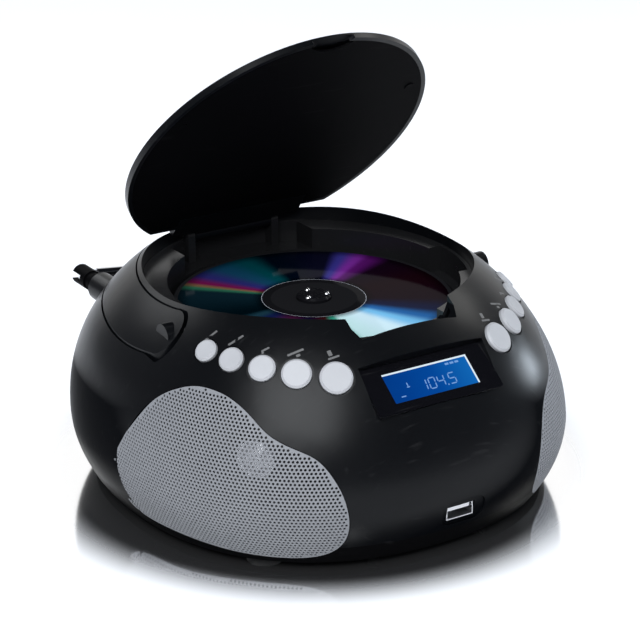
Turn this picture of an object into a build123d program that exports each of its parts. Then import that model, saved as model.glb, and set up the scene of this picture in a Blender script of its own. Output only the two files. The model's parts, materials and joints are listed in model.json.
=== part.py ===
import math
import os
from functools import lru_cache

from build123d import *

os.makedirs("parts", exist_ok=True)

# Sizes of the body, in millimetres. X is to the right, Y to the back, Z up from the floor.
half_width = 102.2
half_depth = 105.3
body_centre_y = -2.1
plan_power = 2.29
lean_back = 0.09
widest_z = 31.0
dome_height = 84.3
bowl_height = 66.0
base_z = 3.0
split_z = 12.0
wall = 2.5
section_heights = [3, 9, 17, 25, 34, 44, 55, 66, 76, 85, 92, 99]

# Compact disc, a standard size.
disc_radius = 60.0
disc_hole_radius = 7.5
disc_thickness = 1.2
disc_z = 77.0

# Well, its ledge and the opening that the lid closes.
well_radius = 62.5
well_floor_z = 74.0
ledge_z = 87.5
opening_half_width = 70.5
opening_half_depth = 72.1
opening_centre_y = 4.9
rim_wall = 1.8
notch_length = 31.0
notch_centre_y = -12.0
scoop_width = 50.0
scoop_z = 85.0

# Lid and its hinge.
hinge_y = 69.5
hinge_z = 89.8
hinge_pin_radius = 1.5
barrel_radius = 3.0
barrel_half = 19.5
hinge_bay_half = 33.0
hinge_bay_z = 78.0
lug_width = 3.6
lid_open_angle = 51.5
lid_gap = 0.9
lid_back_y = 59.3
lid_under_z = 88.2
lid_edge_z = 91.0
lid_rise = 9.0
lid_arm_width = 65.0
thumb_notch_width = 25.0

# Carrying handle.
handle_gap = 0.7
handle_width = 14.4
handle_thickness = 7.0
handle_pocket_depth = 9.0
handle_pivot_y = -11.5
handle_pivot_z = 82.0
handle_pin_radius = 1.5
handle_sweep_radius = 9.8

# Display.
display_centre_y = -87.0
display_centre_z = 71.6
display_tilt = 37.3
bezel_width = 60.0
bezel_height = 22.0
screen_width = 46.0
screen_height = 17.0

# Keys, from the display outwards: angle from the front, height and diameter.
key_rows = [
    (26.2, 77.9, 13.4),
    (36.2, 79.4, 12.2),
    (45.2, 80.5, 11.0),
    (54.1, 81.8, 10.2),
    (62.4, 82.7, 9.4),
]
key_gap = 0.35
key_proud = 1.2
key_flange = 0.6
switch_depth = 8.8

# Speakers and their grilles.
speaker_angle = 36.0
speaker_radius = 27.0
speaker_z = 36.5
speaker_side = 5.0
baffle_distance = 86.0
baffle_thickness = 2.0
grille_thickness = 1.0
grille_step = 3.0
grille_outline = [
    (-54.0, 33.0), (-44.5, 49.0), (-35.0, 61.0), (-26.0, 67.5), (-16.3, 71.2),
    (-7.5, 71.8), (1.5, 70.2), (11.5, 65.4), (21.0, 59.0), (32.7, 54.3),
    (41.5, 49.7), (49.0, 40.0), (52.8, 27.9), (50.4, 15.6), (40.0, 7.4),
    (22.6, 5.6), (2.2, 6.2), (-23.4, 7.8), (-44.4, 9.6), (-52.0, 19.3),
]

# Aerial at the left of the back. It reaches as far behind the origin as the body does in front.
aerial_radii = [3.1, 2.3, 1.5]
aerial_x = -56.5
aerial_y = half_depth - body_centre_y - aerial_radii[0]
aerial_z = 67.0
aerial_droop = 7.0
aerial_boss_y = 74.0
aerial_boss_length = 14.0
aerial_length = 104.0

# Sockets.
usb_x = 2.6
usb_z = 19.8
usb_width = 13.0
usb_height = 5.8

# Battery bay, as its left, right, front and back, and the main circuit board.
bay = (-52.0, 52.0, -24.0, 28.0)
bay_top = 22.0
board_z = 27.0
board_spots = [(-58, -18), (58, -18), (-58, 34), (58, 34)]

# Disc drive: pickup on two rods, moved by a rack and a wheel.
chassis_spots = [(-26, -27), (-26, 27), (52, -27), (52, 31)]
sled_x = 30.0
sled_rod_z = 68.0
rod_side = 15.0
rod_posts = (11.0, 66.5)
rack_line_y = 20.5
gear_module = 0.8
gear_teeth = 16
gear_x = 38.0
backlash = 0.14


def save(shape, name):
    export_step(shape, "parts/" + name + ".step")
    print("saved", name)


def centre_y(z):
    return body_centre_y + lean_back * max(0.0, z - widest_z)


def plan_points(a, b, y, z, count=24):
    points = []
    for i in range(count):
        t = 2 * math.pi * i / count
        c = math.cos(t)
        s = math.sin(t)
        x = a * math.copysign(abs(c) ** (2 / plan_power), c)
        points.append((x, y + b * math.copysign(abs(s) ** (2 / plan_power), s), z))
    return points


def body_section(z, inset):
    height = dome_height if z >= widest_z else bowl_height
    share = math.sqrt(1 - ((z - widest_z) / height) ** 2)
    mean = (half_width + half_depth) / 2
    across = share / mean
    up = (z - widest_z) / height ** 2
    length = math.hypot(across, up)
    side = inset * across / length
    level = z - inset * up / length
    a = half_width * share - side
    b = half_depth * share - side
    return make_face(Spline(*plan_points(a, b, centre_y(z), level), periodic=True))


@lru_cache(maxsize=None)
def body_form(inset=0.0, lowest=0.0):
    return loft([body_section(z, inset) for z in section_heights if z >= lowest])


def block(x0, x1, y0, y1, z0, z1):
    return Pos((x0 + x1) / 2, (y0 + y1) / 2, (z0 + z1) / 2) * Box(x1 - x0, y1 - y0, z1 - z0)


def rod(radius, z0, z1, x=0.0, y=0.0):
    return Pos(x, y, (z0 + z1) / 2) * Cylinder(radius, z1 - z0)


def rod_x(radius, x0, x1, y, z):
    return Pos((x0 + x1) / 2, y, z) * Rot(0, 90, 0) * Cylinder(radius, abs(x1 - x0))


def rod_y(radius, y0, y1, x, z):
    return Pos(x, (y0 + y1) / 2, z) * Rot(90, 0, 0) * Cylinder(radius, abs(y1 - y0))


def oval_prism(a, b, y, z0, z1):
    return Pos(0, y, z0) * extrude(Ellipse(a, b), z1 - z0)


def body_point(angle, z):
    # Point and outward direction on the dome, angle measured from the front.
    share = math.sqrt(1 - ((z - widest_z) / dome_height) ** 2)
    a = half_width * share
    b = half_depth * share
    dx = math.sin(math.radians(angle))
    dy = -math.cos(math.radians(angle))
    reach = ((abs(dx) / a) ** plan_power + (abs(dy) / b) ** plan_power) ** (-1 / plan_power)
    x = reach * dx
    y = reach * dy
    nx = math.copysign(abs(x) ** (plan_power - 1) / a ** plan_power, x)
    ny = math.copysign(abs(y) ** (plan_power - 1) / b ** plan_power, y)
    nz = (z - widest_z) / (dome_height * share) ** 2
    return Vector(x, centre_y(z) + y, z), Vector(nx, ny, nz).normalized()


def key_plane(row, side):
    angle, z, diameter = row
    point, out = body_point(side * angle, z)
    return Plane(origin=point, z_dir=out, x_dir=Vector(0, 0, 1).cross(out))


def display_plane():
    tilt = math.radians(display_tilt)
    out = Vector(0, -math.sin(tilt), math.cos(tilt))
    return Plane(origin=(0, display_centre_y, display_centre_z), x_dir=(1, 0, 0), z_dir=out)


def moved_from_left(shape):
    return Part() + mirror(shape, Plane.YZ)


def opening_prism(inset=0.0, z0=60.0, z1=130.0):
    a = opening_half_width - inset
    b = opening_half_depth - inset
    return oval_prism(a, b, opening_centre_y, z0, z1)


# Handle and the pocket it folds into.

def handle_plan(grow):
    a_in = opening_half_width + rim_wall + handle_gap - grow
    b_in = opening_half_depth + rim_wall + handle_gap - grow
    a_out = a_in + handle_width + 2 * grow
    b_out = b_in + handle_width + 2 * grow
    shift = handle_pivot_y - opening_centre_y
    x_in = a_in * math.sqrt(1 - (shift / b_in) ** 2)
    x_out = a_out * math.sqrt(1 - (shift / b_out) ** 2)
    ring = Pos(0, opening_centre_y) * (Ellipse(a_out, b_out) - Ellipse(a_in, b_in))
    rear = Pos(0, handle_pivot_y + 100) * Rectangle(240, 200)
    plan = ring & rear
    for side in (-1, 1):
        plan += Pos(side * (x_in + x_out) / 2, handle_pivot_y) * Circle((x_out - x_in) / 2)
    return plan


def handle_plan_prism(grow, low=68.0):
    return Pos(0, 0, low) * extrude(handle_plan(grow), 105 - low)


def pivot_rod(radius, x0, x1):
    left = rod_x(radius, -x1, -x0, handle_pivot_y, handle_pivot_z)
    return left + moved_from_left(left)


def handle_channel():
    return handle_plan_prism(handle_gap, 67.3) - body_form(handle_pocket_depth, 50)


def handle_sweep():
    return pivot_rod(handle_sweep_radius, 60, 87.2) - opening_prism(-rim_wall)


def handle_pocket_walls():
    around = handle_plan_prism(handle_gap + 2.0, 65.3) - body_form(handle_pocket_depth + 2.0, 50)
    cups = pivot_rod(handle_sweep_radius + 2.0, 62, 89.2)
    return [around - opening_prism(0, 50), cups - opening_prism(0, 50)]


def handle():
    grip = (handle_plan_prism(0.0) & body_form()) - body_form(handle_thickness, 50)
    bosses = pivot_rod(5.0, 73.2, 80.5) & handle_plan_prism(0.0)
    return grip + bosses - pivot_rod(handle_pin_radius + 0.05, 60, 79.4)


def handle_pins():
    return pivot_rod(handle_pin_radius, 66.7, 79.0)


# Speaker side: a plane square to the speaker, with sideways and height coordinates.

def left_plane():
    angle = math.radians(speaker_angle)
    out = Vector(-math.cos(angle), -math.sin(angle), 0)
    return Plane(origin=out * baffle_distance, x_dir=Vector(0, 0, 1).cross(out), z_dir=out)


def grille_points(inset):
    # Each point of the outline moves inwards, square to the line through its neighbours.
    points = []
    count = len(grille_outline)
    for i, (s, z) in enumerate(grille_outline):
        s0, z0 = grille_outline[i - 1]
        s1, z1 = grille_outline[(i + 1) % count]
        length = math.hypot(s1 - s0, z1 - z0)
        points.append((s + inset * (z1 - z0) / length, z - inset * (s1 - s0) / length))
    return points


def grille_prism(inset, near=2.2):
    shape = make_face(Spline(*grille_points(inset), periodic=True))
    return left_plane() * Pos(0, 0, near) * extrude(shape, 34)


def speaker_round(radius, near, far):
    centre = Pos(speaker_side, speaker_z, (near + far) / 2)
    return left_plane() * centre * Cylinder(radius, far - near)


def baffle():
    sheet = left_plane() * Pos(0, 0, baffle_thickness / 2) * Box(130, 400, baffle_thickness)
    sheet = sheet & block(-150, 0, -150, 20, split_z - 1, 66)
    return sheet - speaker_round(speaker_radius - 2, -5, 10)


def turned(points):
    profile = make_face(Polyline(*[(r, 0, z) for r, z in points], close=True))
    centre = Pos(speaker_side, speaker_z, 0)
    return left_plane() * centre * revolve(profile, Axis.Z)


def speaker_basket():
    r = speaker_radius
    return turned([
        (r, 0), (r + 2, 0), (r + 2, -1.5), (r + 0.5, -1.5), (17, -14), (17, -15.5),
        (9, -15.5), (9, -14), (15.6, -14), (r - 1, -2), (r - 1, 0),
    ])


def speaker_cone():
    r = speaker_radius - 1.2
    return turned([
        (0, -6.2), (4, -6.8), (7.4, -9.0), (r - 4.5, -2.6), (r - 3.2, -1.0), (r - 1.6, -0.4),
        (r, -1.2), (r, -1.8), (r - 1.6, -1.1), (r - 2.8, -1.6), (r - 4.2, -3.4), (8.2, -10.0),
        (8.2, -13.5), (7.4, -13.5), (7.4, -10.2), (4, -7.6), (0, -7.0),
    ])


def speaker_magnet():
    return speaker_round(17, -24.5, -15.5) - speaker_round(7.9, -21, -15)


def grille(outer):
    sheet = outer - body_form(grille_thickness)
    return sheet & grille_prism(0.2)


# Display.

def display_box(width, height, low, high):
    centre = Pos(0, 0, (low + high) / 2)
    return display_plane() * centre * Box(width, height, high - low)


def display_frame():
    frame = display_box(bezel_width + 4, bezel_height + 4, -2.7, 8)
    posts = [
        display_plane() * Pos(x, y, -4.2) * Cylinder(1.8, 3.0)
        for x in (-27.5, 27.5) for y in (-9, 9)
    ]
    return [frame] + posts


def display_cuts():
    pocket = display_box(bezel_width + 0.4, bezel_height + 0.4, -1.5, 12)
    return pocket + display_box(screen_width, screen_height, -8, 0)


def display_window():
    plate = display_box(bezel_width, bezel_height, -1.5, 0)
    corners = plate.edges().filter_by(Axis(origin=(0, 0, 0), direction=display_plane().z_dir))
    return fillet(corners, 1.2)


def lcd_panel():
    return display_box(screen_width - 0.4, screen_height - 0.4, -5.7, -2.7)


def display_board():
    return display_box(60, 23, -7.3, -5.7)


# Keys, each on its own plane on the dome.

def on_key(row, side, radius, low, high):
    plane = key_plane(row, side)
    return plane * Pos(0, 0, (low + high) / 2) * Cylinder(radius, high - low)


def key(row, side):
    radius = row[2] / 2
    cap = on_key(row, side, radius, -4.4, key_proud)
    rim = cap.faces().sort_by(Axis(origin=(0, 0, 0), direction=key_plane(row, side).z_dir))
    cap = chamfer(rim[-1].edges(), 0.8)
    cap = cap + on_key(row, side, radius + key_flange, -4.6, -3.6)
    return cap + on_key(row, side, 2.0, -7.0, -4.5)


def key_holes():
    cuts = None
    for row in key_rows:
        for side in (-1, 1):
            hole = on_key(row, side, row[2] / 2 + key_gap, -5.0, 6)
            hole = hole + on_key(row, side, row[2] / 2 + 0.9, -0.5, 6)
            hole = hole + on_key(row, side, row[2] / 2 + key_flange + 0.4, -8, -3.2)
            cuts = hole if cuts is None else cuts + hole
    return cuts


def wedge(side):
    reach = 130
    points = [(0, 0)]
    for angle in (24.0, 45.0, 67.5):
        a = math.radians(angle)
        points.append((side * reach * math.sin(a), -reach * math.cos(a)))
    return Pos(0, 0, 67) * extrude(make_face(Polyline(*points, close=True)), 10)


def board_posts(side):
    spots = [(31.0, 73.6, 3.0), (58.2, 75.0, 3.0)]
    return [on_key(spot, side, 1.5, -9.6, -2.0) for spot in spots]


def key_boards():
    sheet = body_form(9.6, 50) - body_form(10.8, 50)
    return Compound(children=[sheet & wedge(-1), sheet & wedge(1)])


def key_switches():
    group = []
    for row in key_rows:
        for side in (-1, 1):
            case = key_plane(row, side) * Pos(0, 0, -switch_depth) * Box(6, 6, 1.6)
            group.append(case + on_key(row, side, 1.6, -8.1, -7.85))
    return Compound(children=group)


# Outer shells.

def screw_spots():
    return [(x * side, y) for x, y in ((26, -86), (80, 34)) for side in (-1, 1)]


def screw_columns():
    columns = []
    for x, y in screw_spots():
        column = rod(4, split_z - 1, 40, x, y)
        if y < 0:
            rib = block(x - 1.2, x + 1.2, -105, y, split_z - 1, 38)
        else:
            rib = block(min(x, x * 1.3), max(x, x * 1.3), y - 1.2, y + 1.2, split_z - 1, 38)
        columns.append(column + rib)
    return columns


def usb_cut(grow, y0, y1):
    w = usb_width / 2 + grow
    h = usb_height / 2 + grow
    return block(usb_x - w, usb_x + w, y0, y1, usb_z - h, usb_z + h)


def usb_surround():
    shape = Pos(usb_x + 1.5, usb_z) * RectangleRounded(21, 11.5, 5)
    front = Plane(origin=(0, -112, 0), x_dir=(1, 0, 0), z_dir=(0, -1, 0))
    return front * extrude(shape, -14.0) - body_form(0.6)


def scoop():
    half = scoop_width / 2
    low = half - 4
    points = [(-half, 95), (-half, 91.5), (-low, scoop_z), (low, scoop_z), (half, 91.5), (half, 95)]
    face = Plane(origin=(0, -50, 0), x_dir=(1, 0, 0), z_dir=(0, -1, 0)) * make_face(
        Polyline(*points, close=True))
    return extrude(face, 22)


def inner_structure():
    left = baffle()
    rim = opening_prism(-rim_wall, 73) - opening_prism(0, 60)
    shelf = opening_prism(0, 83.5, 85.5) - opening_prism(2.2, 80, 90)
    shelf = shelf - block(-90, 90, -31, 7, 80, 90) - block(-40, 40, 50, 90, 80, 90)
    sill = block(-28, 28, -74, -67, 80, 96) - opening_prism()
    pieces = [left, moved_from_left(left), rim, shelf, sill] + handle_pocket_walls()
    return pieces + display_frame() + screw_columns() + board_posts(-1) + board_posts(1)


def grille_cuts():
    recess = grille_prism(0) - body_form(grille_thickness)
    through = grille_prism(grille_step)
    return [recess, moved_from_left(recess), through, moved_from_left(through)]


def upper_housing(outer, inner):
    hollow = inner & block(-150, 150, -150, 150, 0, 130)
    for piece in inner_structure():
        hollow = hollow - piece
    shell = (outer & block(-150, 150, -150, 150, split_z, 130)) - hollow - opening_prism(0, 85.5)
    shell = shell - opening_prism(3.4, 60, 86)
    boss_end = aerial_boss_y + aerial_boss_length
    shell = shell + rod_y(6.5, aerial_boss_y, boss_end, aerial_x, aerial_z)
    for cut in grille_cuts():
        shell = shell - cut
    shell = shell - handle_channel() - handle_sweep()
    shell = shell - pivot_rod(handle_pin_radius, 60, 74) - display_cuts()
    shell = shell - key_holes() - scoop() - usb_cut(0.3, -120, -90) - usb_surround()
    shell = shell - rod_y(4.0, aerial_boss_y + 5, 96, aerial_x, aerial_z)
    shell = shell - block(-10.2, 10.2, 90, 120, 17.8, 30.2) - rod_y(3.2, 85, 110, 30, 24)
    for x, y in screw_spots():
        shell = shell - rod(1.5, 5, 26, x, y)
    return shell


def lower_housing(outer, inner):
    shell = (outer - (inner & block(-150, 150, -150, 150, 5.5, 60)))
    shell = shell & block(-150, 150, -150, 150, 0, split_z)
    x0, x1, y0, y1 = bay
    shell = shell + block(x0 - 2, x1 + 2, y0 - 2, y1 + 2, base_z, bay_top + 2)
    shell = shell - block(x0, x1, y0, y1, 0, bay_top)
    for x in (x0, x1):
        for y in (y0, y1):
            shell = shell + block(min(x, x * 0.93), max(x, x * 0.93), y - 2, y + 2, 5, 7)
    for x, y in screw_spots():
        shell = shell + rod(5, 5, split_z, x, y)
    for x in (-16, 16):
        shell = shell + rod(2.5, 5, usb_z - usb_height / 2 - 1.6, x, -82)
    for x, y in board_spots:
        shell = shell + rod(2.5, 5, board_z, x, y)
    shell = shell + [block(-27, 27, 39, 41, 5, 12), block(-27, 27, 76, 78, 5, 12)]
    for cut in grille_cuts():
        shell = shell - cut
    for x, y in screw_spots():
        shell = shell - rod(1.6, 0, 20, x, y) - rod(3.4, 0, 5.6, x, y)
    return shell


def battery_door():
    x0, x1, y0, y1 = bay
    plate = block(x0 + 0.3, x1 - 0.3, y0 + 0.3, y1 - 0.3, base_z, 5)
    ribs = [y0 + 3 + i * 2.4 for i in range(5)]
    return plate - [block(-12, 12, y, y + 1, base_z - 0.01, base_z + 0.6) for y in ribs]


def battery_contacts():
    parts = []
    for end in (-1, 1):
        for row in range(3):
            y = bay[2] + 8.7 + row * 17.3
            x = end * bay[1]
            parts.append(block(min(x, x - end * 0.6), max(x, x - end * 0.6), y - 5, y + 5, 8, 19))
            turns = Pos(x - end * 0.6, y, 13.5) * Rot(0, -90 * end, 0)
            parts.append(turns * Pos(0, 0, 1.5) * Cone(4, 2, 3))
    return Compound(children=parts)


def rubber_feet():
    spots = [(62, -60), (-62, -60), (62, 62), (-62, 62)]
    return Compound(children=[rod(7.5, 0, base_z, x, y) for x, y in spots])


def screws():
    group = [rod(1.5, 4.0, 24, x, y) + rod(3.0, 3.6, 5.6, x, y) for x, y in screw_spots()]
    group += [rod(1.5, 59, 71, x, y) + rod(3.2, 57.5, 59.5, x, y) for x, y in chassis_spots]
    return Compound(children=group)


# Electrical parts inside.

def main_board():
    return block(-62, 62, -22, 38, board_z, board_z + 1.6)


def board_parts():
    top = board_z + 1.6
    cans = [rod(5, top, top + 14, x, y) for x, y in ((-44, 26), (-31, 26), (44, 24))]
    cans += [rod(3.2, top, top + 9, x, 4) for x in (-50, -40)]
    chips = [block(x - w, x + w, y - d, y + d, top, top + 1.8)
             for x, y, w, d in ((-10, -8, 7, 7), (22, -8, 9, 4), (22, 14, 5, 5), (-24, 6, 5, 3))]
    sink = block(30, 54, -20, -17, top, top + 16)
    coil = rod(6, top, top + 7, 2, 26) - rod(2.5, top + 2, top + 8, 2, 26)
    return Compound(children=cans + chips + [sink, coil])


def power_transformer():
    core = block(-24, 24, 44, 74, 8, 42) - block(-15, 15, 40, 80, 15, 35)
    coil = block(-15, 15, 41, 76, 15, 35)
    feet = block(-30, 30, 41, 76, 5.5, 8)
    return core + coil + feet


def usb_board():
    z = usb_z - usb_height / 2
    return block(-20, 20, -103, -78, z - 1.6, z) & body_form(wall + 0.4)


def usb_socket():
    w = usb_width / 2
    h = usb_height / 2
    can = block(usb_x - w, usb_x + w, -104.8, -91, usb_z - h, usb_z + h)
    can = can - block(usb_x - w + 0.4, usb_x + w - 0.4, -110, -92, usb_z - h + 0.4, usb_z + h - 0.4)
    tongue = block(usb_x - 5.6, usb_x + 5.6, -103.6, -91.5, usb_z + 0.3, usb_z + 2.1)
    return can + tongue


def ac_inlet():
    shell = block(-10, 10, 84, 100.6, 18, 30) + block(-13, 13, 96.2, 97.6, 16.8, 31.5)
    cavity = Pos(0, 102, 24) * Rot(90, 0, 0) * extrude(SlotOverall(16.4, 8.4), 14)
    pins = [rod_y(1.2, 86, 98, x, 24) for x in (-4.2, 4.2)]
    return shell - cavity + pins


def aux_socket():
    body = block(24.5, 35.5, 82, 94, 19, 30) + rod_y(3.0, 93, 99.6, 30, 24)
    return body - rod_y(1.8, 84, 110, 30, 24)


# Disc well and its ledge.

def disc_deck():
    flange = opening_prism(0.15, 85.5, ledge_z) - rod(well_radius, 80, 90)
    tub = rod(well_radius + 2, well_floor_z - 2, ledge_z) - rod(well_radius, well_floor_z, 95)
    deck = flange + tub
    low = opening_prism(0.15, scoop_z - 3.5, scoop_z - 1.5) & block(-25, 25, -90, -50, 70, 95)
    deck = deck + (low - rod(well_radius, 70, 95)) - rod(17, 70, 80)
    deck = deck - block(-23, 23, -120, -50, scoop_z - 1.5, 95)
    notch_y0 = notch_centre_y - notch_length / 2
    notch_y1 = notch_centre_y + notch_length / 2
    notch = block(-90, 90, notch_y0, notch_y1, 76, 95)
    wall_y0 = notch_y0 - 2
    wall_y1 = notch_y1 + 2
    around = opening_prism(0.15, 74, ledge_z) & block(-90, 90, wall_y0, wall_y1, 74, ledge_z)
    around = around - rod(well_radius, 70, 95)
    deck = deck + around - (notch & opening_prism(2.0))
    half = hinge_bay_half
    box = opening_prism(0.15, hinge_bay_z - 2, ledge_z) & block(-half - 2, half + 2, 45, 90, 70, 90)
    deck = deck + (box - rod(well_radius, 70, 95))
    deck = deck - (opening_prism(2.0, hinge_bay_z, 99) & block(-half, half, 45, 90, 70, 99))
    x0 = barrel_half + 0.3
    x1 = x0 + lug_width
    lug = rod_x(barrel_radius - 0.1, x0, x1, hinge_y, hinge_z)
    lug = lug + block(x0, x1, hinge_y - 2.9, hinge_y + 2.6, hinge_bay_z - 1, hinge_z)
    deck = deck + lug + moved_from_left(lug)
    deck = deck - rod_x(hinge_pin_radius, -40, 40, hinge_y, hinge_z)
    deck = deck - pivot_rod(handle_pin_radius, 60, 72)
    for x, y in chassis_spots:
        deck = deck + rod(3, 66.5, 73, x, y)
    deck = deck - block(20, 61, -6, 6, 70, 80)
    return deck - [rod(1.5, 60, 71.5, x, y) for x, y in chassis_spots]


# Lid.

def lid_turn():
    return Pos(0, hinge_y, hinge_z) * Rot(-lid_open_angle, 0, 0) * Pos(0, -hinge_y, -hinge_z)


def lid_prism(inset, z0, z1):
    back = block(-100, 100, -100, lid_back_y - max(0.0, inset - lid_gap), z0, z1)
    return opening_prism(inset, z0, z1) & back


def lid_ball(drop):
    a = opening_half_width
    radius = (a * a + lid_rise * lid_rise) / (2 * lid_rise)
    return Pos(0, opening_centre_y, lid_edge_z + lid_rise - radius) * Sphere(radius - drop)


def lid_cover():
    cover = lid_prism(lid_gap, lid_under_z, 110) & lid_ball(0)
    hollow = lid_prism(lid_gap + 2.0, lid_under_z - 1, 110) & lid_ball(2.0)
    half = lid_arm_width / 2
    arm = block(-half, half, 52, 64.4, lid_under_z, 110) & lid_ball(0) & opening_prism(lid_gap)
    neck = block(-barrel_half, barrel_half, 64, hinge_y, lid_under_z, hinge_z + 1.8)
    barrel = rod_x(barrel_radius, -barrel_half, barrel_half, hinge_y, hinge_z)
    cover = cover - hollow + arm + neck + barrel
    cover = cover - rod_x(hinge_pin_radius + 0.05, -60, 60, hinge_y, hinge_z)
    thumb = rod(13.5, 80, 90, 0, -74.6) & block(-12.5, 12.5, -80, -60, 80, 90)
    cover = cover - thumb
    return lid_turn() * cover


def lid_liner():
    plate = lid_prism(lid_gap + 2.0, lid_under_z, lid_under_z + 1.0)
    plate = plate - block(-33, 33, 51.6, 60, 80, 95)
    thumb = rod(15.5, 80, 95, 0, -74.6)
    pads = [rod(2.2, lid_under_z - 0.4, lid_under_z, x, y) for x, y in ((-56, -22), (56, -22))]
    return lid_turn() * (plate - thumb + pads)


def lid_hinge_pin():
    half = barrel_half + 0.3 + lug_width
    return rod_x(hinge_pin_radius, -half, half, hinge_y, hinge_z)


# Disc drive.

def mechanism_chassis():
    plate = block(-33, rod_posts[1] + 3.5, -34, 38, 62, 64)
    plate = plate - rod(3.2, 60, 66) - rod(1.4, 60, 66, gear_x, gear_y())
    posts = []
    for x in rod_posts:
        posts.append(block(x - 1.5, x + 1.5, rod_side - 3, rod_side + 2.6, 63, 70.4))
        posts.append(block(x - 1.5, x + 1.5, -rod_side - 3, -rod_side + 3, 63, 70.4))
    plate = plate + posts - [rod(3, 60, 66, x, y) for x, y in chassis_spots]
    return plate - rod_x(1.5, 0, 80, rod_side, sled_rod_z) - rod_x(1.2, 0, 80, -rod_side, sled_rod_z)


def damper_grommets():
    rings = []
    for x, y in chassis_spots:
        ring = rod(4.5, 64, 66.5, x, y) + rod(3, 62, 64, x, y) + rod(4.5, 59.5, 62, x, y)
        rings.append(ring - rod(1.5, 50, 70, x, y))
    return Compound(children=rings)


def spindle_motor():
    case = rod(12, 50, 62) + rod(3.2, 62, 65)
    return case - rod(1.05, 55, 66)


def spindle_hub():
    hub = rod(15, 75.2, disc_z) + rod(disc_hole_radius - 0.05, disc_z, 80.2) + rod(4, 69, 75.4)
    top = hub.faces().sort_by(Axis.Z)[-1]
    hub = chamfer(top.edges(), 0.9)
    hub = hub - (rod(13.4, 76.6, 78) - rod(9.5, 76, 79))
    hub = hub - [Pos(*spot) * Sphere(1.5) for spot in ball_spots()]
    return hub + rod(1.0, 58, 70)


def ball_spots():
    turn = [math.radians(a) for a in (90, 210, 330)]
    return [(5.4 * math.cos(a), 5.4 * math.sin(a), 79.6) for a in turn]


def chuck_balls():
    return Compound(children=[Pos(*spot) * Sphere(1.5) for spot in ball_spots()])


def disc():
    return rod(disc_radius, disc_z, disc_z + disc_thickness) - rod(disc_hole_radius, 70, 80)


def optical_pickup():
    body = block(sled_x - 9, sled_x + 9, -18, 18, 65.5, 71)
    body = body - block(sled_x - 20, sled_x + 20, -rod_side - 1.25, -rod_side + 1.25, 60, 69.25)
    body = body - block(sled_x - 6, sled_x + 6, -18.5, -7, 70, 72)
    return body - rod_x(1.55, 0, 80, rod_side, sled_rod_z)


def pickup_lens():
    ring = rod(4.2, 71, 72.4, sled_x) - rod(2.6, 71.4, 74, sled_x)
    glass = rod(2.6, 71, 73, sled_x) & (Pos(sled_x, 0, 68) * Sphere(5.4))
    return ring + glass


def guide_rods():
    x0 = rod_posts[0] - 1.5
    x1 = rod_posts[1] + 1.5
    thick = rod_x(1.5, x0, x1, rod_side, sled_rod_z)
    return Compound(children=[thick, rod_x(1.2, x0, x1, -rod_side, sled_rod_z)])


def pitch_radius():
    return gear_module * gear_teeth / 2


def gear_y():
    return rack_line_y + pitch_radius()


def gear_outline():
    pressure = math.radians(20)
    base = pitch_radius() * math.cos(pressure)
    tip = pitch_radius() + 0.75 * gear_module
    root = pitch_radius() - 1.2 * gear_module
    half = (math.pi * gear_module / 2 - backlash) / 2 / pitch_radius()
    half += math.tan(pressure) - pressure
    flank = []
    for i in range(6):
        r = base + (tip - base) * i / 5
        t = math.acos(base / r)
        flank.append((r, half - (math.tan(t) - t)))
    points = []
    for n in range(gear_teeth):
        middle = 2 * math.pi * n / gear_teeth - math.pi / 2
        side = [(root, flank[0][1])] + flank
        for r, a in side:
            points.append((r * math.cos(middle - a), r * math.sin(middle - a)))
        for r, a in reversed(side):
            points.append((r * math.cos(middle + a), r * math.sin(middle + a)))
    return points


def sled_gear():
    shape = make_face(Polyline(*gear_outline(), close=True))
    wheel = Pos(gear_x, gear_y(), 66) * extrude(shape, 3)
    return wheel + rod(1.0, 54, 66.5, gear_x, gear_y())


def pickup_rack():
    pitch = math.pi * gear_module
    high = 0.75 * gear_module
    low = 1.1 * gear_module
    half = (pitch / 2 - backlash) / 2
    slope = math.tan(math.radians(20))
    points = [(gear_x - 28.5, 18.0), (gear_x - 28.5, rack_line_y - low)]
    for n in range(-11, 3):
        middle = gear_x + (n + 0.5) * pitch
        wide = half + low * slope
        thin = half - high * slope
        points += [
            (middle - wide, rack_line_y - low), (middle - thin, rack_line_y + high),
            (middle + thin, rack_line_y + high), (middle + wide, rack_line_y - low),
        ]
    points += [(gear_x + 8, rack_line_y - low), (gear_x + 8, 18.0)]
    return Pos(0, 0, 66.2) * extrude(make_face(Polyline(*points, close=True)), 2.6)


def sled_motor():
    case = rod(9, 48, 62, gear_x, gear_y())
    return case - rod(1.05, 50, 70, gear_x, gear_y())


# Aerial, built along X and then set at its place.

def aerial_place():
    return Pos(aerial_x, aerial_y, aerial_z) * Rot(0, aerial_droop, 0)


def aerial_mount():
    face = aerial_boss_y + aerial_boss_length
    stub = rod_y(4.0, aerial_boss_y + 5, aerial_y - 8, aerial_x, aerial_z)
    stub = stub + rod_y(5.6, face, face + 2.5, aerial_x, aerial_z)
    return stub - rod_y(1.6, aerial_y - 20, aerial_y, aerial_x, aerial_z)


def aerial_knuckle():
    head = rod_y(4.6, -7.7, aerial_radii[0], 0, 0)
    gap = block(-6, 6, -4.0, 6, -1.6, 1.6)
    spigot = rod_y(1.55, -18, -7, 0, 0)
    head = head - gap + spigot
    return aerial_place() * (head - rod(1.0, -3.4, 3.4))


def aerial_pin():
    return aerial_place() * rod(1.0, -3.4, 3.4)


def aerial_outer():
    eye = rod(aerial_radii[0] - 0.2, -1.5, 1.5) + block(0, 6.5, -2.4, 2.4, -1.5, 1.5)
    tube = rod_x(aerial_radii[0], 6.0, aerial_length, 0, 0)
    tube = tube - rod_x(aerial_radii[1] + 0.05, 8.0, aerial_length + 5, 0, 0)
    return aerial_place() * (eye + tube - rod(1.03, -4, 4))


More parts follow.
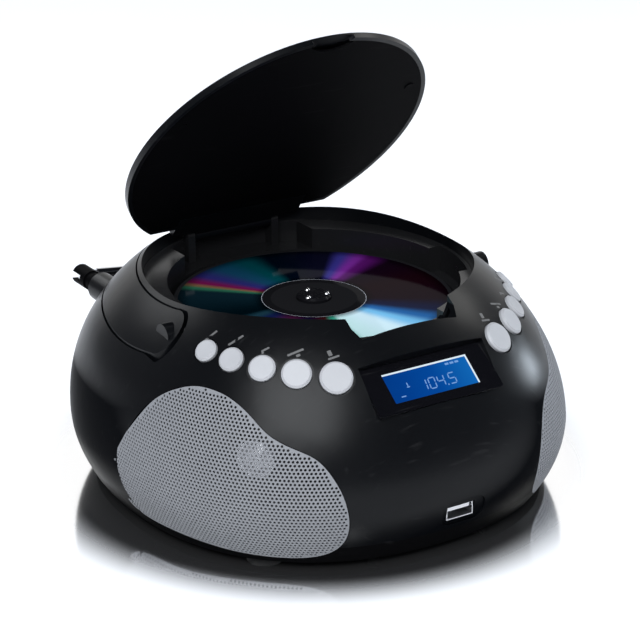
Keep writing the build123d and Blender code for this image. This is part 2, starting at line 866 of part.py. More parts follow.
def aerial_middle():
    tube = rod_x(aerial_radii[1], 10.0, aerial_length + 2, 0, 0)
    return aerial_place() * (tube - rod_x(aerial_radii[2] + 0.05, 12.0, aerial_length + 5, 0, 0))


def aerial_tip():
    rod_part = rod_x(aerial_radii[2], 14.0, aerial_length + 4, 0, 0)
    return aerial_place() * (rod_part + rod_x(2.8, aerial_length + 3, aerial_length + 7, 0, 0))


def build():
    outer = body_form()
    inner = body_form(wall)
    save(upper_housing(outer, inner), "upper_housing")
    save(lower_housing(outer, inner), "lower_housing")
    left = grille(outer)
    save(left, "left_grille")
    save(moved_from_left(left), "right_grille")
    for name, make in (("basket", speaker_basket), ("cone", speaker_cone), ("magnet", speaker_magnet)):
        shape = make()
        save(shape, "left_speaker_" + name)
        save(moved_from_left(shape), "right_speaker_" + name)
    for number, row in enumerate(key_rows):
        save(key(row, -1), "left_key_" + str(number + 1))
        save(key(row, 1), "right_key_" + str(number + 1))
    for make in single_parts:
        save(make(), make.__name__)


single_parts = [
    handle, handle_pins, display_window, lcd_panel, display_board, key_boards, key_switches,
    battery_door, battery_contacts, rubber_feet, screws, main_board, board_parts, power_transformer,
    usb_board, usb_socket, ac_inlet, aux_socket, disc_deck, lid_cover, lid_liner, lid_hinge_pin,
    mechanism_chassis, damper_grommets, spindle_motor, spindle_hub, chuck_balls, disc, optical_pickup,
    pickup_lens, guide_rods, sled_gear, pickup_rack, sled_motor, aerial_mount, aerial_knuckle,
    aerial_pin, aerial_outer, aerial_middle, aerial_tip,
]


def print_places():
    for number, row in enumerate(key_rows):
        for side in (-1, 1):
            plane = key_plane(row, side)
            spot = [round(v, 3) for v in tuple(plane.origin)]
            out = [round(v, 5) for v in tuple(plane.z_dir)]
            print("key", side, number + 1, spot, out)


build()
print_places()
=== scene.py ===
import json
import math

import bpy
import numpy as np
from mathutils import Matrix, geometry


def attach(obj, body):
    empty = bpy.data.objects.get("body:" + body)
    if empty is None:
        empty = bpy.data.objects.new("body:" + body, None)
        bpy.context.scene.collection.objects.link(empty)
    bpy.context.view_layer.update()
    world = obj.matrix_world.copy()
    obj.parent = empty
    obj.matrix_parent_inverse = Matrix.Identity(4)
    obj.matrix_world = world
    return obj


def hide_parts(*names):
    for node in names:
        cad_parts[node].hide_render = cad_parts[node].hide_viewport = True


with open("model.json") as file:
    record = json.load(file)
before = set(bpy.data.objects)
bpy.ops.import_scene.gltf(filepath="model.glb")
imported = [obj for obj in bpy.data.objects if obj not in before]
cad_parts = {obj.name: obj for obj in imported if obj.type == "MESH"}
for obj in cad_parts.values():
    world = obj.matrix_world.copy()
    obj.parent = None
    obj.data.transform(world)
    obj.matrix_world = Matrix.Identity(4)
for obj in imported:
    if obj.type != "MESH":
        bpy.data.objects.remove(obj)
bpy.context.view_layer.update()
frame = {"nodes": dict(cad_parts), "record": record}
print("frame loaded", len(frame["nodes"]), "nodes")

mm = 0.001


# Meshes from arrays

def addMesh(name, points, faces, body, material, smoothAngle=35.0):
    # points is an n by 3 array, faces a list of arrays of vertex numbers with one row per face
    mesh = bpy.data.meshes.new(name)
    rows = [row for block in faces for row in np.asarray(block).tolist()]
    mesh.from_pydata(np.asarray(points, float).tolist(), [], rows)
    mesh.polygons.foreach_set("use_smooth", np.ones(len(mesh.polygons), bool))
    mesh.set_sharp_from_angle(angle=math.radians(smoothAngle))
    mesh.update()
    piece = bpy.data.objects.new(name, mesh)
    bpy.context.scene.collection.objects.link(piece)
    mesh.materials.append(material)
    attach(piece, body)
    return piece


# The round body: a superellipse in plan whose size follows half an ellipse in height

bodyShape = {
    "halfWidth": 102.2 * mm,
    "halfDepth": 105.3 * mm,
    "centreY": -2.1 * mm,
    "power": 2.29,
    "leanBack": 0.09,
    "widestZ": 31.0 * mm,
    "domeHeight": 84.3 * mm,
    "bowlHeight": 66.0 * mm,
}


def bodyValue(p):
    # 1 on the surface, less inside: (|x|/a)^n + (|y|/b)^n with a and b shrinking by the height's ellipse
    z = p[..., 2] - bodyShape["widestZ"]
    height = np.where(z >= 0, bodyShape["domeHeight"], bodyShape["bowlHeight"])
    share = np.sqrt(np.clip(1 - (z / height) ** 2, 1e-6, 1))
    y = p[..., 1] - bodyShape["centreY"] - bodyShape["leanBack"] * np.clip(z, 0, None)
    n = bodyShape["power"]
    across = np.abs(p[..., 0]) / (bodyShape["halfWidth"] * share)
    return across ** n + (np.abs(y) / (bodyShape["halfDepth"] * share)) ** n


def reachSurface(start, direction, near, far):
    # distance from start along direction to the body's surface, found by halving the interval
    low = np.full(start.shape[:-1], float(near))
    high = np.full(start.shape[:-1], float(far))
    for _ in range(40):
        middle = (low + high) / 2
        inside = bodyValue(start + middle[..., None] * direction) < 1
        low = np.where(inside, middle, low)
        high = np.where(inside, high, middle)
    return (low + high) / 2


def surfaceNormal(p):
    # gradient of bodyValue by small steps
    step = 1e-5
    parts = [bodyValue(p + step * axis) - bodyValue(p - step * axis) for axis in np.eye(3)]
    normal = np.stack(parts, -1)
    return normal / np.linalg.norm(normal, axis=-1, keepdims=True)


# Speaker side

grilleShape = {
    "angle": 36.0,
    "centre": (5.0 * mm, 36.5 * mm),
    "outline": [
        (-54.0, 33.0), (-44.5, 49.0), (-35.0, 61.0), (-26.0, 67.5), (-16.3, 71.2), (-7.5, 71.8),
        (1.5, 70.2), (11.5, 65.4), (21.0, 59.0), (32.7, 54.3), (41.5, 49.7), (49.0, 40.0),
        (52.8, 27.9), (50.4, 15.6), (40.0, 7.4), (22.6, 5.6), (2.2, 6.2), (-23.4, 7.8),
        (-44.4, 9.6), (-52.0, 19.3),
    ],
    "pitch": 1.72 * mm,
    "hole": 0.56 * mm,
    "sides": 8,
    "edgeGap": 0.35 * mm,
    "border": 0.28 * mm,
    "thickness": 0.6 * mm,
}


# Shader groups that several materials share

def newGroup(name, inputs, outputs):
    group = bpy.data.node_groups.new(name, "ShaderNodeTree")
    for label, kind, value in inputs:
        socket = group.interface.new_socket(name=label, in_out="INPUT", socket_type=kind)
        socket.default_value = value
    for label, kind in outputs:
        group.interface.new_socket(name=label, in_out="OUTPUT", socket_type=kind)
    ins = group.nodes.new("NodeGroupInput")
    outs = group.nodes.new("NodeGroupOutput")
    return group, ins, outs


def mathNode(tree, operation, a, b=None, clamp=False):
    node = tree.nodes.new("ShaderNodeMath")
    node.operation = operation
    node.use_clamp = clamp
    for socket, value in zip(node.inputs, (a, b)):
        if value is None:
            continue
        if isinstance(value, (int, float)):
            socket.default_value = value
        else:
            tree.links.new(value, socket)
    return node.outputs[0]


def noiseNode(tree, vector, scale, detail=3.0, roughness=0.5):
    node = tree.nodes.new("ShaderNodeTexNoise")
    tree.links.new(vector, node.inputs["Vector"])
    if isinstance(scale, (int, float)):
        node.inputs["Scale"].default_value = scale
    else:
        tree.links.new(scale, node.inputs["Scale"])
    node.inputs["Detail"].default_value = detail
    node.inputs["Roughness"].default_value = roughness
    return node.outputs["Fac"]


def rampNode(tree, factor, stops, interpolation="LINEAR"):
    node = tree.nodes.new("ShaderNodeValToRGB")
    node.color_ramp.interpolation = interpolation
    while len(node.color_ramp.elements) < len(stops):
        node.color_ramp.elements.new(0.5)
    for element, (place, colour) in zip(node.color_ramp.elements, stops):
        element.position = place
        element.color = (*colour, 1.0) if len(colour) == 3 else colour
    tree.links.new(factor, node.inputs["Fac"])
    return node.outputs["Color"]


def mixColour(tree, factor, a, b, blend="MIX"):
    node = tree.nodes.new("ShaderNodeMix")
    node.data_type = "RGBA"
    node.blend_type = blend
    for socket, value in ((node.inputs[0], factor), (node.inputs[6], a), (node.inputs[7], b)):
        if isinstance(value, (int, float)):
            socket.default_value = value
        elif isinstance(value, tuple):
            socket.default_value = (*value, 1.0)
        else:
            tree.links.new(value, socket)
    return node.outputs[2]


def makeMouldedGroup():
    # fine orange peel and faint flow waves of moulded plastic, as a height, and a soft patchy mask
    group, ins, outs = newGroup(
        "mouldedSkin",
        [("Vector", "NodeSocketVector", (0, 0, 0)), ("Scale", "NodeSocketFloat", 900.0)],
        [("Height", "NodeSocketFloat"), ("Patches", "NodeSocketFloat")],
    )
    fine = noiseNode(group, ins.outputs["Vector"], ins.outputs["Scale"], 4.0, 0.6)
    broad = noiseNode(group, ins.outputs["Vector"], 45.0, 2.0, 0.5)
    wave = mathNode(group, "MULTIPLY", broad, 0.35)
    group.links.new(mathNode(group, "ADD", fine, wave), outs.inputs["Height"])
    patch = noiseNode(group, ins.outputs["Vector"], 22.0, 5.0, 0.65)
    group.links.new(patch, outs.inputs["Patches"])
    return group


def makeScuffGroup():
    # a few hair scratches and specks of dust: thin ridges of stretched noise above a threshold
    group, ins, outs = newGroup(
        "handlingMarks",
        [("Vector", "NodeSocketVector", (0, 0, 0)), ("Amount", "NodeSocketFloat", 0.5)],
        [("Mask", "NodeSocketFloat")],
    )
    turn = group.nodes.new("ShaderNodeMapping")
    turn.inputs["Rotation"].default_value = (0.5, 0.3, 0.9)
    turn.inputs["Scale"].default_value = (14.0, 260.0, 90.0)
    group.links.new(ins.outputs["Vector"], turn.inputs["Vector"])
    hair = noiseNode(group, turn.outputs["Vector"], 3.0, 2.0, 0.4)
    hair = mathNode(group, "MULTIPLY", mathNode(group, "SUBTRACT", hair, 0.66), 9.0, True)
    speck = noiseNode(group, ins.outputs["Vector"], 1500.0, 1.0, 0.3)
    speck = mathNode(group, "MULTIPLY", mathNode(group, "SUBTRACT", speck, 0.74), 9.0, True)
    both = mathNode(group, "MAXIMUM", hair, speck)
    group.links.new(mathNode(group, "MULTIPLY", both, ins.outputs["Amount"]), outs.inputs["Mask"])
    return group


def makeBrushedGroup():
    # long fine strokes across one axis, as a height and a tone
    group, ins, outs = newGroup(
        "brushStrokes",
        [("Vector", "NodeSocketVector", (0, 0, 0)), ("Stretch", "NodeSocketVector", (40, 40, 2500))],
        [("Height", "NodeSocketFloat"), ("Tone", "NodeSocketFloat")],
    )
    turn = group.nodes.new("ShaderNodeVectorMath")
    turn.operation = "MULTIPLY"
    group.links.new(ins.outputs["Vector"], turn.inputs[0])
    group.links.new(ins.outputs["Stretch"], turn.inputs[1])
    stroke = noiseNode(group, turn.outputs["Vector"], 1.0, 3.0, 0.6)
    tone = noiseNode(group, ins.outputs["Vector"], 60.0, 3.0, 0.5)
    group.links.new(stroke, outs.inputs["Height"])
    group.links.new(tone, outs.inputs["Tone"])
    return group


mouldedSkin = makeMouldedGroup()
handlingMarks = makeScuffGroup()
brushStrokes = makeBrushedGroup()


def startMaterial(name):
    material = bpy.data.materials.new(name)
    material.use_nodes = True
    tree = material.node_tree
    shader = tree.nodes["Principled BSDF"]
    place = tree.nodes.new("ShaderNodeTexCoord").outputs["Object"]
    return material, tree, shader, place


def groupNode(tree, group, place, **values):
    node = tree.nodes.new("ShaderNodeGroup")
    node.node_tree = group
    tree.links.new(place, node.inputs["Vector"])
    for label, value in values.items():
        node.inputs[label].default_value = value
    return node


def bumpFrom(tree, shader, height, strength, distance):
    bump = tree.nodes.new("ShaderNodeBump")
    bump.inputs["Strength"].default_value = strength
    bump.inputs["Distance"].default_value = distance
    tree.links.new(height, bump.inputs["Height"])
    tree.links.new(bump.outputs["Normal"], shader.inputs["Normal"])


def rangeOf(tree, factor, low, high, start=0.0, stop=1.0):
    node = tree.nodes.new("ShaderNodeMapRange")
    node.interpolation_type = "SMOOTHSTEP"
    node.inputs["From Min"].default_value = start
    node.inputs["From Max"].default_value = stop
    node.inputs["To Min"].default_value = low
    node.inputs["To Max"].default_value = high
    tree.links.new(factor, node.inputs["Value"])
    return node.outputs["Result"]


def plastic(name, look):
    # moulded plastic: patchy tone and gloss, faint scratches, orange peel as bump
    material, tree, shader, place = startMaterial(name)
    skin = groupNode(tree, mouldedSkin, place, Scale=look.get("grain", 900.0))
    marks = groupNode(tree, handlingMarks, place, Amount=look.get("marks", 0.4))
    dark = tuple(v * 0.85 for v in look["colour"])
    light = tuple(min(1.0, v * 1.15) for v in look["colour"])
    tone = mixColour(tree, skin.outputs["Patches"], dark, light)
    dusty = tuple(min(1.0, v + 0.05) for v in look["colour"])
    tone = mixColour(tree, marks.outputs["Mask"], tone, dusty)
    tree.links.new(tone, shader.inputs["Base Color"])
    gloss = rangeOf(tree, skin.outputs["Patches"], look["rough"] * 0.85, look["rough"] * 1.15)
    gloss = mathNode(tree, "ADD", gloss, mathNode(tree, "MULTIPLY", marks.outputs["Mask"], 0.15))
    tree.links.new(gloss, shader.inputs["Roughness"])
    if "dullBelow" in look:
        # gloss on the shoulder and where it is seen straight on, little on the lower sides seen aslant
        height = tree.nodes.new("ShaderNodeSeparateXYZ")
        tree.links.new(place, height.inputs[0])
        shoulder = rangeOf(tree, height.outputs["Z"], 0.0, 1.0, *look["dullBelow"])
        facing = tree.nodes.new("ShaderNodeLayerWeight").outputs["Facing"]
        straight = rangeOf(tree, facing, 1.0, 0.0, *look["dullAslant"])
        share = mathNode(tree, "MAXIMUM", shoulder, straight)
        share = mathNode(tree, "MAXIMUM", share, look["dullShare"])
        level = mathNode(tree, "MULTIPLY", share, look["specular"])
        tree.links.new(level, shader.inputs["Specular IOR Level"])
    else:
        shader.inputs["Specular IOR Level"].default_value = look.get("specular", 0.5)
    bumpFrom(tree, shader, skin.outputs["Height"], look.get("bump", 0.08), 0.0001)
    return material


def metal(name, look):
    # metal with strokes or a cast grain
    material, tree, shader, place = startMaterial(name)
    strokes = groupNode(tree, brushStrokes, place, Stretch=look.get("stretch", (60, 60, 2500)))
    dark = tuple(v * 0.9 for v in look["colour"])
    tone = mixColour(tree, strokes.outputs["Tone"], dark, look["colour"])
    tree.links.new(tone, shader.inputs["Base Color"])
    gloss = rangeOf(tree, strokes.outputs["Height"], look["rough"] * 0.8, look["rough"] * 1.2)
    tree.links.new(gloss, shader.inputs["Roughness"])
    shader.inputs["Metallic"].default_value = look.get("metallic", 1.0)
    shader.inputs["Specular IOR Level"].default_value = look.get("specular", 0.5)
    bumpFrom(tree, shader, strokes.outputs["Height"], look.get("bump", 0.05), 0.0001)
    return material


def circuitBoard(name, look):
    # green lacquer, lighter over the tracks, which are the edges of a cell pattern
    material, tree, shader, place = startMaterial(name)
    cells = tree.nodes.new("ShaderNodeTexVoronoi")
    cells.feature = "DISTANCE_TO_EDGE"
    cells.inputs["Scale"].default_value = look["scale"]
    tree.links.new(place, cells.inputs["Vector"])
    track = mathNode(tree, "LESS_THAN", cells.outputs["Distance"], look["trackWidth"])
    tone = mixColour(tree, track, look["colour"], tuple(v * 1.9 for v in look["colour"]))
    tree.links.new(tone, shader.inputs["Base Color"])
    shader.inputs["Roughness"].default_value = 0.35
    bumpFrom(tree, shader, track, 0.1, 0.00005)
    return material


discLook = {
    "radius": 60.0 * mm,
    "clearTo": 18.5 * mm,
    "innerBand": 22.5 * mm,
    "dataTo": 58.2 * mm,
    "clear": (0.009, 0.009, 0.010),
    # the metal band is painted near black: a painted dark reflection in place of the mirror's own
    "metal": (0.006, 0.006, 0.007),
    "ring": (0.30, 0.31, 0.34),
    "ringHalfWidth": 0.25 * mm,
    "metallic": 0.12,
    "reach": [  # share of the radius, strength of the painted diffraction highlights
        (0.36, (0.1, 0.1, 0.1)), (0.44, (1, 1, 1)), (0.88, (0.9, 0.9, 0.9)), (0.985, (0.25, 0.25, 0.25)),
    ],
    "paintedFans": [  # angle from +X in degrees, colour of the painted diffraction highlight
        (-180, (0.00, 0.003, 0.005)), (-172, (0.008, 0.030, 0.045)), (-162, (0.004, 0.008, 0.045)),
        (-144, (0.045, 0.006, 0.030)), (-128, (0.006, 0.003, 0.025)), (-112, (0.040, 0.004, 0.005)),
        (-104, (0.03, 0.30, 0.20)), (-97, (0.50, 0.72, 0.72)), (-78, (0.56, 0.74, 0.80)),
        (-66, (0.15, 0.44, 0.70)), (-57, (0.01, 0.10, 0.30)), (-47, (0.003, 0.006, 0.03)),
        (-32, (0.006, 0.001, 0.004)), (-5, (0.007, 0.001, 0.003)), (20, (0.005, 0.001, 0.005)),
        (31, (0.07, 0.005, 0.10)), (36, (0.15, 0.018, 0.24)), (44, (0.03, 0.025, 0.19)),
        (51, (0.002, 0.002, 0.010)), (80, (0.00, 0.002, 0.006)), (92, (0.00, 0.045, 0.055)),
        (106, (0.005, 0.045, 0.09)), (119, (0.02, 0.018, 0.12)), (128, (0.13, 0.005, 0.05)),
        (131, (0.16, 0.08, 0.04)), (134, (0.02, 0.11, 0.06)), (139, (0.003, 0.012, 0.018)),
        (180, (0.00, 0.003, 0.005)),
    ],
}


def discSurface(name, look):
    # mirror painted with its reflection: near black for the dark it reflects, with painted diffraction
    # highlights, coloured streaks that run out from the hub; the clear middle shows no metal
    material, tree, shader, place = startMaterial(name)
    split = tree.nodes.new("ShaderNodeSeparateXYZ")
    tree.links.new(place, split.inputs[0])
    x, y = split.outputs["X"], split.outputs["Y"]
    radius = mathNode(tree, "SQRT", mathNode(tree, "ADD", mathNode(tree, "MULTIPLY", x, x),
                                             mathNode(tree, "MULTIPLY", y, y)))
    angle = mathNode(tree, "ARCTAN2", y, x)
    turn = mathNode(tree, "ADD", mathNode(tree, "DIVIDE", angle, 2 * math.pi), 0.5)
    # painted diffraction highlights: colours by angle round the hub, fixed to the disc
    paintedFans = rampNode(tree, turn, [((a + 180) / 360, c) for a, c in look["paintedFans"]], "EASE")
    reach = rampNode(tree, mathNode(tree, "DIVIDE", radius, look["radius"]), look["reach"])
    colour = mixColour(tree, 1.0, paintedFans, reach, "MULTIPLY")
    inData = mathNode(tree, "MULTIPLY", mathNode(tree, "GREATER_THAN", radius, look["innerBand"]),
                      mathNode(tree, "LESS_THAN", radius, look["dataTo"]))
    inMetal = mathNode(tree, "MULTIPLY", mathNode(tree, "GREATER_THAN", radius, look["clearTo"]),
                       mathNode(tree, "LESS_THAN", radius, look["dataTo"]))
    nearRing = mathNode(tree, "COMPARE", radius, look["innerBand"])
    nearRing.node.inputs[2].default_value = look["ringHalfWidth"]
    middle = mixColour(tree, nearRing, look["metal"], look["ring"])
    base = mixColour(tree, inData, middle, colour)
    base = mixColour(tree, inMetal, look["clear"], base)
    tree.links.new(base, shader.inputs["Base Color"])
    tree.links.new(mathNode(tree, "MULTIPLY", inMetal, look["metallic"]), shader.inputs["Metallic"])
    shader.inputs["Roughness"].default_value = 0.07
    shader.inputs["Specular IOR Level"].default_value = 0.0
    return material


panelLook = {
    "perMetre": 24.0,
    "tones": [(0.0, (0.0006, 0.034, 0.22)), (0.55, (0.001, 0.056, 0.30)), (1.0, (0.006, 0.135, 0.46))],
    "haze": (0.004, 0.12, 0.44),
    "hazeShare": 0.16,
}


def litPanel(name, look):
    # back light: deep blue, paler toward the lamp at the right edge
    material, tree, shader, place = startMaterial(name)
    split = tree.nodes.new("ShaderNodeSeparateXYZ")
    tree.links.new(place, split.inputs[0])
    across = mathNode(tree, "MULTIPLY", split.outputs["X"], look["perMetre"])
    tone = rampNode(tree, mathNode(tree, "ADD", across, 0.5, True), look["tones"])
    haze = noiseNode(tree, place, 90.0, 2.0, 0.5)
    tone = mixColour(tree, mathNode(tree, "MULTIPLY", haze, look["hazeShare"]), tone, look["haze"])
    tree.links.new(tone, shader.inputs["Emission Color"])
    shader.inputs["Emission Strength"].default_value = 1.0
    shader.inputs["Base Color"].default_value = (0.0, 0.001, 0.004, 1)
    shader.inputs["Roughness"].default_value = 0.3
    shader.inputs["Specular IOR Level"].default_value = 0.0
    return material


def litInk(name, colour, strength):
    # figures that glow by themselves, slightly uneven
    material, tree, shader, place = startMaterial(name)
    haze = noiseNode(tree, place, 400.0, 2.0, 0.5)
    tone = mixColour(tree, haze, tuple(v * 0.85 for v in colour), colour)
    tree.links.new(tone, shader.inputs["Emission Color"])
    shader.inputs["Emission Strength"].default_value = strength
    shader.inputs["Base Color"].default_value = (0.01, 0.01, 0.01, 1)
    shader.inputs["Specular IOR Level"].default_value = 0.05
    return material


def coneSurface(name, look):
    # black cone, silver dust cap made pale as a painted highlight: radius from the speaker's axis, the
    # same on both sides through |x|
    material, tree, shader, place = startMaterial(name)
    split = tree.nodes.new("ShaderNodeSeparateXYZ")
    tree.links.new(place, split.inputs[0])
    turn = math.radians(grilleShape["angle"])
    fromX = mathNode(tree, "MULTIPLY", mathNode(tree, "ABSOLUTE", split.outputs["X"]), -math.sin(turn))
    fromY = mathNode(tree, "MULTIPLY", split.outputs["Y"], math.cos(turn))
    sideways = mathNode(tree, "SUBTRACT", fromX, fromY)
    s = mathNode(tree, "SUBTRACT", sideways, grilleShape["centre"][0])
    h = mathNode(tree, "SUBTRACT", split.outputs["Z"], grilleShape["centre"][1])
    radius = mathNode(tree, "SQRT", mathNode(tree, "ADD", mathNode(tree, "MULTIPLY", s, s),
                                             mathNode(tree, "MULTIPLY", h, h)))
    cap = mathNode(tree, "LESS_THAN", radius, look["cap"])
    grain = noiseNode(tree, place, 1800.0, 3.0, 0.6)
    tone = mixColour(tree, grain, tuple(v * 0.7 for v in look["colour"]), look["colour"])
    # dust cap: partly its own silver, partly a painted highlight that shows through the grille
    tree.links.new(mixColour(tree, cap, tone, look["capSilverAndHighlight"]), shader.inputs["Base Color"])
    tree.links.new(mathNode(tree, "MULTIPLY", cap, 0.4), shader.inputs["Metallic"])
    tree.links.new(rangeOf(tree, grain, 0.30, 0.42), shader.inputs["Roughness"])
    bumpFrom(tree, shader, grain, 0.25, 0.0001)
    return material


def clearLens(name):
    # bluish glass with a faint smear in its gloss
    material, tree, shader, place = startMaterial(name)
    smear = noiseNode(tree, place, 300.0, 2.0, 0.5)
    tree.links.new(rangeOf(tree, smear, 0.01, 0.06), shader.inputs["Roughness"])
    shader.inputs["Base Color"].default_value = (0.55, 0.65, 0.95, 1)
    shader.inputs["Transmission Weight"].default_value = 1.0
    return material


finishes = {
    "gloss_black": plastic("bodyBlack", {"colour": (0.0022, 0.0025, 0.0032), "rough": 0.30,
                                          "specular": 0.15, "bump": 0.05, "marks": 0.10,
                                          "dullBelow": (50 * mm, 62 * mm),
                                          "dullAslant": (0.25, 0.50), "dullShare": 0.02}),
    "matt_black": plastic("baseBlack", {"colour": (0.002, 0.002, 0.0023), "rough": 0.42,
                                         "specular": 0.008, "bump": 0.2, "marks": 0.05, "grain": 1400.0}),
    "well_black": plastic("wellBlack", {"colour": (0.008, 0.008, 0.0085), "rough": 0.25,
                                         "specular": 0.2, "bump": 0.05, "marks": 0.08}),
    "grille_metal": metal("grilleSilver", {"colour": (0.205, 0.21, 0.222), "rough": 0.5, "bump": 0.15,
                                            "stretch": (900, 900, 900), "metallic": 0.10,
                                            "specular": 0.02}),
    "black_paper": coneSurface("coneBlack", {"colour": (0.03, 0.03, 0.033), "cap": 8.2 * mm,
                                              "capSilverAndHighlight": (0.85, 0.86, 0.9)}),
    "dark_steel": plastic("basketPaint", {"colour": (0.03, 0.03, 0.033), "rough": 0.5, "bump": 0.3}),
    "magnet_iron": metal("magnetGrey", {"colour": (0.16, 0.16, 0.17), "rough": 0.6,
                                         "stretch": (500, 500, 500), "bump": 0.3}),
    "silver_key": plastic("keySilver", {"colour": (0.33, 0.333, 0.345), "rough": 0.45, "specular": 0.4,
                                         "bump": 0.12, "grain": 2600.0, "marks": 0.2}),
    "steel": metal("brightSteel", {"colour": (0.6, 0.6, 0.62), "rough": 0.25}),
    "chromed": metal("polishedChrome", {"colour": (0.80, 0.80, 0.82), "rough": 0.07, "bump": 0.02}),
    "dark_window": plastic("windowBlack", {"colour": (0.003, 0.003, 0.004), "rough": 0.06,
                                            "specular": 0.4, "bump": 0.0, "marks": 0.25}),
    "lit_panel": litPanel("panelBlue", panelLook),
    "board_green": circuitBoard("boardGreen", {"colour": (0.02, 0.13, 0.06), "scale": 260.0,
                                               "trackWidth": 0.06}),
    "component_black": plastic("componentBlack", {"colour": (0.02, 0.02, 0.02), "rough": 0.4}),
    "rubber_black": plastic("footRubber", {"colour": (0.02, 0.02, 0.02), "rough": 0.8, "bump": 0.4}),
    "transformer_steel": metal("coreSteel", {"colour": (0.25, 0.25, 0.26), "rough": 0.5,
                                              "stretch": (30, 3000, 30), "bump": 0.4}),
    "socket_metal": metal("socketPlate", {"colour": (0.62, 0.62, 0.64), "rough": 0.28}),
    "motor_metal": metal("zincPlate", {"colour": (0.5, 0.5, 0.52), "rough": 0.35}),
    "hub_plastic": plastic("hubBlack", {"colour": (0.005, 0.005, 0.006), "rough": 0.18, "bump": 0.03,
                                         "specular": 0.06, "marks": 0.05}),
    "disc_mirror": discSurface("discMirror", discLook),
    "pickup_metal": metal("castPickup", {"colour": (0.3, 0.3, 0.31), "rough": 0.55,
                                          "stretch": (700, 700, 700), "bump": 0.4}),
    "lens_glass": clearLens("lensBlue"),
    "white_plastic": plastic("gearNatural", {"colour": (0.72, 0.72, 0.69), "rough": 0.45}),
}
print("materials made", len(finishes))

for row in frame["record"]["subparts"]:
    node = frame["nodes"][row["node"]]
    if not node.material_slots:
        node.data.materials.append(None)
    for slot in node.material_slots:
        slot.material = finishes[row["material_slot"]]
print("materials placed")


# Speaker grilles: pierced sheet that follows the body

def smoothOutline(points, perSpan):
    # closed cubic spline through the points: slopes solve the usual cyclic three term system
    count = len(points)
    p = np.asarray(points, float)
    matrix = 4 * np.eye(count) + np.roll(np.eye(count), 1, 0) + np.roll(np.eye(count), -1, 0)
    slope = np.linalg.solve(matrix, 3 * (np.roll(p, -1, 0) - np.roll(p, 1, 0)))
    t = (np.arange(perSpan) / perSpan)[None, :, None]
    a, b = p[:, None], np.roll(p, -1, 0)[:, None]
    da, db = slope[:, None], np.roll(slope, -1, 0)[:, None]
    curve = (a * (1 + 2 * t) * (1 - t) ** 2 + da * t * (1 - t) ** 2
             + b * t * t * (3 - 2 * t) + db * t * t * (t - 1))
    return curve.reshape(-1, 2)


def insideOutline(points, loop):
    # a point is inside when a line to the right crosses the loop an odd number of times
    x, y = points[:, None, 0], points[:, None, 1]
    x0, y0 = loop[None, :, 0], loop[None, :, 1]
    x1, y1 = np.roll(loop, -1, 0)[None, :, 0], np.roll(loop, -1, 0)[None, :, 1]
    crosses = (y0 > y) != (y1 > y)
    where = (x1 - x0) * (y - y0) / np.where(y1 == y0, 1e-12, y1 - y0) + x0
    return (crosses & (x < where)).sum(1) % 2 == 1


def edgeDistance(points, loop):
    # shortest distance from each point to the loop's pieces
    a = loop[None]
    d = np.roll(loop, -1, 0)[None] - a
    t = np.clip(((points[:, None] - a) * d).sum(-1) / (d * d).sum(-1), 0, 1)
    return np.linalg.norm(points[:, None] - a - t[..., None] * d, axis=-1).min(1)


def speakerPlane():
    # outward direction of the left speaker and the sideways direction along the sheet
    a = math.radians(grilleShape["angle"])
    out = np.array([-math.cos(a), -math.sin(a), 0.0])
    side = np.array([math.sin(a), -math.cos(a), 0.0])
    return out, side


def grilleSurface(sideways, height):
    # the point of the body's surface straight out from this place of the speaker's plane
    out, side = speakerPlane()
    start = sideways[..., None] * side + height[..., None] * np.array([0.0, 0.0, 1.0])
    return start + reachSurface(start, out, 0.05, 0.14)[..., None] * out


